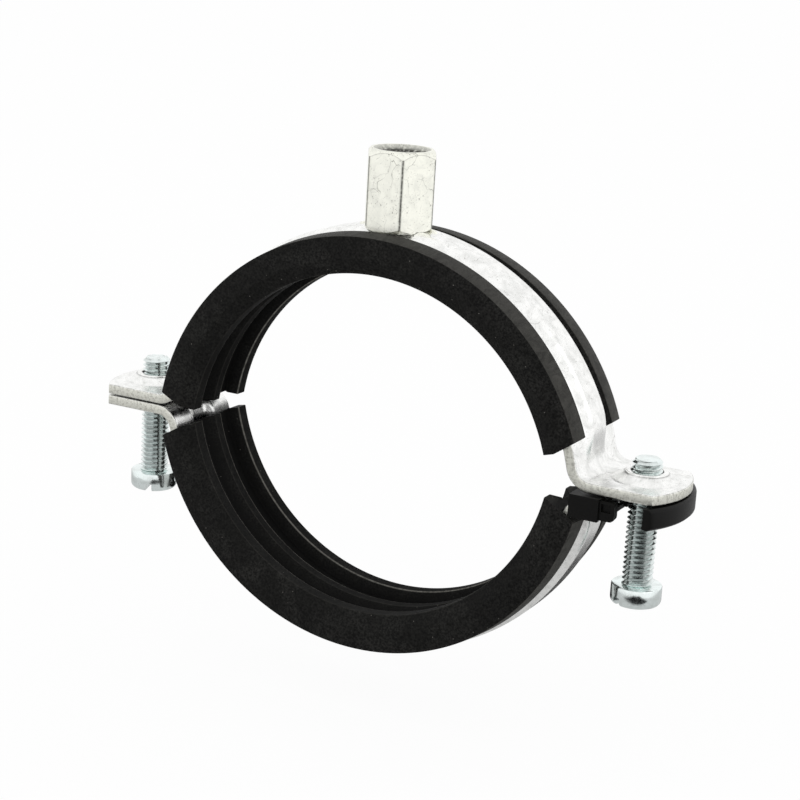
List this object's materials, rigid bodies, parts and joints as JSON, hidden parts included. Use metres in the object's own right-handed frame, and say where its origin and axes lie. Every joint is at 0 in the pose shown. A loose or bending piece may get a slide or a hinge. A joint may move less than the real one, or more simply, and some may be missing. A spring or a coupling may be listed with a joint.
{
  "type": "rubber lined pipe clamp",
  "caption": "Split steel pipe clamp with black rubber liner, bolted side lugs and a hexagonal hanger nut on top; the lower half swings open.",
  "frame": {"origin": "on the pipe's centre line, in the plane of the upper lugs' undersides, midway along the rubber", "axes": "+Z from the pipe's centre up through the connection nut; Y along the pipe; X through the two screws, with the slotted lug and its plastic retainer on +X"},
  "size_m": [0.1292, 0.0226, 0.1012],
  "materials": {
    "band_zinc": "zinc plated, bright and mottled",
    "nut_zinc": "zinc plated, scratched",
    "screw_zinc": "blue-white zinc plated",
    "liner_rubber": "matte black, fine grain",
    "retainer_plastic": "black, slight sheen"
  },
  "bodies": {
    "upper_half": {"upper_band": "band_zinc", "upper_liner": "liner_rubber", "connection_nut": "nut_zinc"},
    "lower_half": {"lower_band": "band_zinc", "lower_liner": "liner_rubber", "screw_retainer": "retainer_plastic"},
    "left_screw": {"left_screw": "screw_zinc"},
    "right_screw": {"right_screw": "screw_zinc"}
  },
  "joints": [
    {"name": "left_screw_travel", "type": "slide", "parent": "upper_half", "child": "left_screw", "axis": [0, 0, 1], "range_m": [-0.006, 0.015]},
    {"name": "right_screw_travel", "type": "slide", "parent": "upper_half", "child": "right_screw", "axis": [0, 0, 1], "range_m": [-0.005, 0.014]},
    {"name": "lower_half_swing", "type": "hinge", "parent": "upper_half", "child": "lower_half", "pos_m": [-0.056, 0, 0], "axis": [0, 0, 1], "range_deg": [0, 110]}
  ]
}
